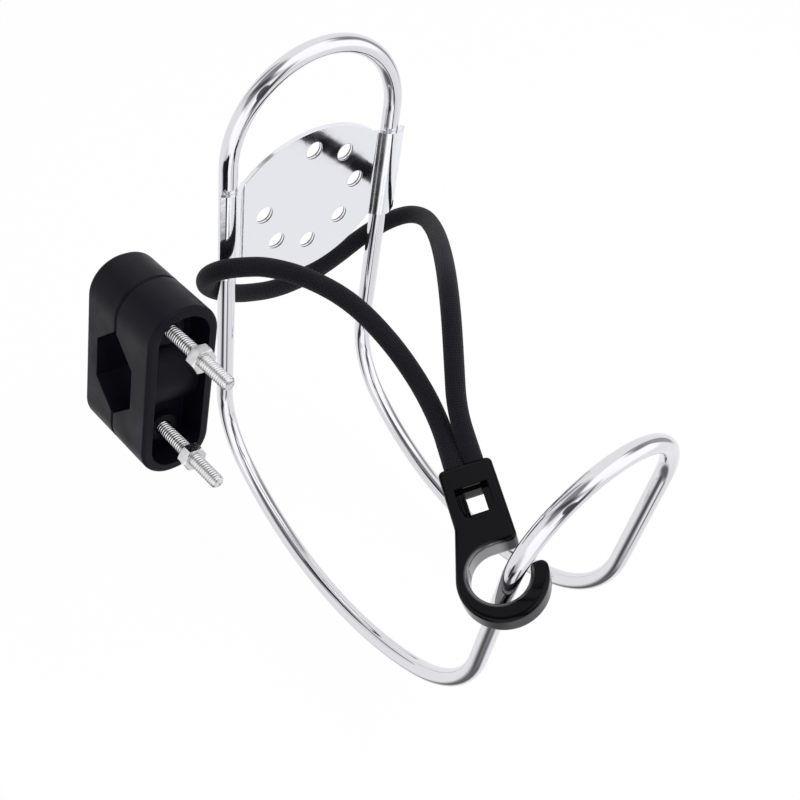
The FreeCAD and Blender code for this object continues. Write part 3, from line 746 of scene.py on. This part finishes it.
class ThreadSize(bpy.types.PropertyGroup):
    """Thread of the bolts"""
    thread_pitch: FloatProperty(
        name="Thread pitch", description="Pitch of the thread", default=0.00125, unit="LENGTH")
    thread_depth: FloatProperty(
        name="Thread depth", description="Depth of the thread", default=0.00045, unit="LENGTH")
    thread_start: FloatProperty(
        name="Thread start", description="From the parting face to the first turn",
        default=0.006, unit="LENGTH")


class StageLook(bpy.types.PropertyGroup):
    """Floor under the holder"""
    floor_level: FloatProperty(
        name="Floor level", description="Height of the floor", default=-0.20, unit="LENGTH")
    floor_width: FloatProperty(
        name="Floor width", description="Side of the square floor", default=6.0, unit="LENGTH")
    shadow_share: FloatProperty(
        name="Shadow share", description="How much of the floor's own light the camera sees",
        default=0.04, min=0, max=1, subtype="FACTOR")


class HolderSettings(bpy.types.PropertyGroup):
    """All settings of the holder"""
    metal: PointerProperty(type=MetalLook)
    cord: PointerProperty(type=CordLook)
    moulded: PointerProperty(type=MouldedLook)
    thread: PointerProperty(type=ThreadSize)
    stage: PointerProperty(type=StageLook)


# Operators


class HOLDER_OT_bent_rod(bpy.types.Operator):
    """Sweep the polished rod round the whole closed cradle"""
    bl_idname = "holder.bent_rod"
    bl_label = "Bent rod"

    def execute(self, context):
        points, outward = frame_loop()
        along = unit(np.roll(points, -1, axis=0) - np.roll(points, 1, axis=0))
        surface = round_tube(points, outward, along, ROD_D / 2, ROD_SIDES)
        piece = grid_object("polished_rod_cradle", surface, wrap_u=True)
        piece.data.materials.append(polished_rod_material(context.scene.ring_holder.metal))
        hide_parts("wire_frame")
        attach(piece, "holder")
        return {"FINISHED"}


class HOLDER_OT_mounting_plate(bpy.types.Operator):
    """Finish the drilled plate and its rolled sleeves"""
    bl_idname = "holder.mounting_plate"
    bl_label = "Mounting plate"

    def execute(self, context):
        dress("mounting_plate", plate_material(context.scene.ring_holder.metal))
        return {"FINISHED"}


class HOLDER_OT_shock_cord(bpy.types.Operator):
    """Lay the braided shock cord along its route"""
    bl_idname = "holder.shock_cord"
    bl_label = "Shock cord"

    def execute(self, context):
        build_cord(context.scene.ring_holder.cord)
        return {"FINISHED"}


class HOLDER_OT_cord_hook(bpy.types.Operator):
    """Finish the moulded hook"""
    bl_idname = "holder.cord_hook"
    bl_label = "Cord hook"

    def execute(self, context):
        dress("cord_hook", hook_material(context.scene.ring_holder.moulded))
        return {"FINISHED"}


class HOLDER_OT_rail_clamp(bpy.types.Operator):
    """Finish the two moulded jaws"""
    bl_idname = "holder.rail_clamp"
    bl_label = "Rail clamp"

    def execute(self, context):
        material = clamp_material(context.scene.ring_holder.moulded)
        dress("clamp_front_jaw", material)
        dress("clamp_back_jaw", material)
        return {"FINISHED"}


class HOLDER_OT_bolts_and_nuts(bpy.types.Operator):
    """Cut the threads of the two bolts and finish the nuts"""
    bl_idname = "holder.bolts_and_nuts"
    bl_label = "Bolts and nuts"

    def execute(self, context):
        # marks of about 1 mm on the rolled thread and 2 mm on the turned nuts
        bolt_steel = steel_material("zinc_plated_rolled_thread", "#E2E2E0", 0.25, 900.0)
        nut_steel = steel_material("zinc_plated_hexagon_nut", "#E0E0DE", 0.22, 500.0)
        surface = bolt_surface(context.scene.ring_holder.thread)
        turn = clamp_axes()
        for name, z in (("upper", BOLT_SPACING / 2), ("lower", -BOLT_SPACING / 2)):
            placed = (surface + np.array([0.0, 0.0, z])) @ turn.T + np.array(CLAMP_CENTRE)
            piece = grid_object(name + "_threaded_bolt", placed)
            piece.data.materials.append(bolt_steel)
            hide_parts(name + "_bolt")
            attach(piece, "back_jaw_and_bolts")
            dress(name + "_nut", nut_steel)
        return {"FINISHED"}


class HOLDER_OT_stage(bpy.types.Operator):
    """Floor, world, lamps and camera"""
    bl_idname = "holder.stage"
    bl_label = "Stage"

    def execute(self, context):
        lay_floor(context.scene.ring_holder.stage)
        light_world(context)
        hang_lamps(context)
        stand_camera(context)
        context.scene.view_settings.view_transform = "Standard"
        return {"FINISHED"}


def white_ray(tree):
    """1 for rays from the camera, off a mirror or through glass, else 0."""
    path = add_node(tree, "ShaderNodeLightPath")
    seen = path.outputs["Is Camera Ray"]
    for kind in ("Is Transmission Ray", "Is Glossy Ray"):
        seen = add_node(
            tree, "ShaderNodeMath", {"operation": "MAXIMUM"}, i0=seen, i1=path.outputs[kind]).outputs[0]
    return seen


def lay_floor(look):
    """Square of white paper: matt for the object's light, plain white but for its shadow to the camera."""
    half = look.floor_width / 2 / MM
    across = np.linspace(-half, half, 3)
    x, y = np.meshgrid(across, across, indexing="ij")
    z = np.full_like(x, look.floor_level / MM)
    floor = grid_object("floor", np.stack([x, y, z], axis=-1), wrap_v=False)
    material = bpy.data.materials.new("white_paper_floor")
    material.use_nodes = True
    tree = material.node_tree
    tree.nodes.clear()
    paper = add_node(tree, "ShaderNodeBsdfDiffuse", Color=linear("#F4F4F4"))
    glow = add_node(tree, "ShaderNodeEmission", Color=linear("#FFFFFF"), Strength=1.0)
    share = add_node(
        tree, "ShaderNodeMath", {"operation": "MULTIPLY"}, i0=white_ray(tree), i1=1 - look.shadow_share)
    mixed = add_node(
        tree, "ShaderNodeMixShader", i0=share.outputs[0], i1=paper.outputs[0], i2=glow.outputs[0])
    add_node(tree, "ShaderNodeOutputMaterial", Surface=mixed.outputs[0])
    floor.data.materials.append(material)
    floor.visible_glossy = False


def studio_patch(tree, direction, below, azimuth, elevation, wide, high, roll, level, soft):
    """Lays an ellipse of light or shade, soft at its rim, over the studio's brightness.

    The direction is turned into the patch's own axes and divided by the sines of its
    half widths; the ellipse is where the length of the first two parts is below 1.
    """
    a = math.radians(azimuth)
    e = math.radians(elevation)
    axes = level_axes((math.cos(e) * math.cos(a), math.cos(e) * math.sin(a), math.sin(e)))
    turn = axes @ Matrix.Rotation(math.radians(roll), 3, "Z")
    local = add_node(
        tree, "ShaderNodeMapping", {"vector_type": "TEXTURE"}, Vector=direction, Rotation=turn.to_euler(),
        Scale=(math.sin(math.radians(wide)), math.sin(math.radians(high)), 1.0))
    flat = add_node(
        tree, "ShaderNodeVectorMath", {"operation": "MULTIPLY"}, i0=local.outputs[0], i1=(1.0, 1.0, 0.0))
    reach = add_node(tree, "ShaderNodeVectorMath", {"operation": "LENGTH"}, i0=flat.outputs[0])
    inside = add_node(
        tree, "ShaderNodeMapRange", {"interpolation_type": "SMOOTHSTEP"}, Value=reach.outputs["Value"],
        i1=1.0 + soft, i2=1.0 - soft)
    split = add_node(tree, "ShaderNodeSeparateXYZ", Vector=local.outputs[0])
    ahead = add_node(tree, "ShaderNodeMath", {"operation": "GREATER_THAN"}, i0=split.outputs["Z"], i1=0.0)
    share = add_node(
        tree, "ShaderNodeMath", {"operation": "MULTIPLY"}, i0=inside.outputs["Result"], i1=ahead.outputs[0])
    return add_node(tree, "ShaderNodeMix", i0=share.outputs[0], i2=below, i3=level).outputs[0]


def light_world(context):
    """White to the camera, a plain level to matt surfaces and the studio to mirrors."""
    world = bpy.data.worlds.new("studio")
    context.scene.world = world
    world.use_nodes = True
    tree = world.node_tree
    tree.nodes.clear()
    where = add_node(tree, "ShaderNodeTexCoord")
    level = STUDIO_LEVEL
    for patch in STUDIO_PATCHES:
        level = studio_patch(tree, where.outputs["Generated"], level, *patch)
    studio = add_node(tree, "ShaderNodeBackground", Color=linear("#FBFBFF"), Strength=level)
    path = add_node(tree, "ShaderNodeLightPath")
    white = add_node(tree, "ShaderNodeBackground", Color=linear("#FFFFFF"), Strength=1.0)
    room = add_node(tree, "ShaderNodeBackground", Color=linear("#A8A8AC"), Strength=0.8)
    seen_by_object = add_node(
        tree, "ShaderNodeMixShader", i0=path.outputs["Is Glossy Ray"],
        i1=room.outputs[0], i2=studio.outputs[0])
    mixed = add_node(
        tree, "ShaderNodeMixShader", i0=path.outputs["Is Camera Ray"],
        i1=seen_by_object.outputs[0], i2=white.outputs[0])
    add_node(tree, "ShaderNodeOutputWorld", Surface=mixed.outputs[0])


def hang_lamps(context):
    """The soft boxes, each facing the middle of the object."""
    for name, place, width, height, power in LAMPS:
        lamp = bpy.data.lights.new(name, "AREA")
        lamp.shape = "RECTANGLE"
        lamp.size = width
        lamp.size_y = height
        lamp.energy = power
        hung = bpy.data.objects.new(name, lamp)
        turn = level_axes(np.array(place) - np.array(LAMP_AIM))
        hung.matrix_world = Matrix.Translation(place) @ turn.to_4x4()
        # mirrors show the studio's patches in place of the lamps
        hung.visible_glossy = False
        context.scene.collection.objects.link(hung)


def stand_camera(context):
    """The photograph's camera."""
    camera = bpy.data.cameras.new("camera")
    camera.sensor_fit = "HORIZONTAL"
    camera.sensor_width = CAMERA_SENSOR
    camera.lens = CAMERA_LENS
    camera.clip_start = 0.01
    camera.clip_end = 20.0
    stand = bpy.data.objects.new("camera", camera)
    stand.location = [v * MM for v in CAMERA_AT]
    stand.rotation_euler = [math.radians(a) for a in CAMERA_TURN]
    context.scene.collection.objects.link(stand)
    context.scene.camera = stand


class HOLDER_PT_sidebar(bpy.types.Panel):
    """Lists the pieces of the life ring holder"""
    bl_idname = "HOLDER_PT_sidebar"
    bl_label = "Life ring holder"
    bl_space_type = "VIEW_3D"
    bl_region_type = "UI"
    bl_category = "Holder"

    def draw(self, context):
        for operator in OPERATORS:
            self.layout.operator(operator.bl_idname)


OPERATORS = (
    HOLDER_OT_bent_rod,
    HOLDER_OT_mounting_plate,
    HOLDER_OT_shock_cord,
    HOLDER_OT_cord_hook,
    HOLDER_OT_rail_clamp,
    HOLDER_OT_bolts_and_nuts,
    HOLDER_OT_stage,
)
GROUPS = (MetalLook, CordLook, MouldedLook, ThreadSize, StageLook, HolderSettings)


def register():
    for part in GROUPS + OPERATORS + (HOLDER_PT_sidebar,):
        bpy.utils.register_class(part)
    bpy.types.Scene.ring_holder = PointerProperty(type=HolderSettings)


def unregister():
    del bpy.types.Scene.ring_holder
    for part in reversed(GROUPS + OPERATORS + (HOLDER_PT_sidebar,)):
        bpy.utils.unregister_class(part)


def main():
    """Builds every piece and the stage."""
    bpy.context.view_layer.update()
    register()
    bpy.ops.holder.bent_rod()
    bpy.ops.holder.mounting_plate()
    bpy.ops.holder.shock_cord()
    bpy.ops.holder.cord_hook()
    bpy.ops.holder.rail_clamp()
    bpy.ops.holder.bolts_and_nuts()
    bpy.ops.holder.stage()


if __name__ == "__main__":
    main()
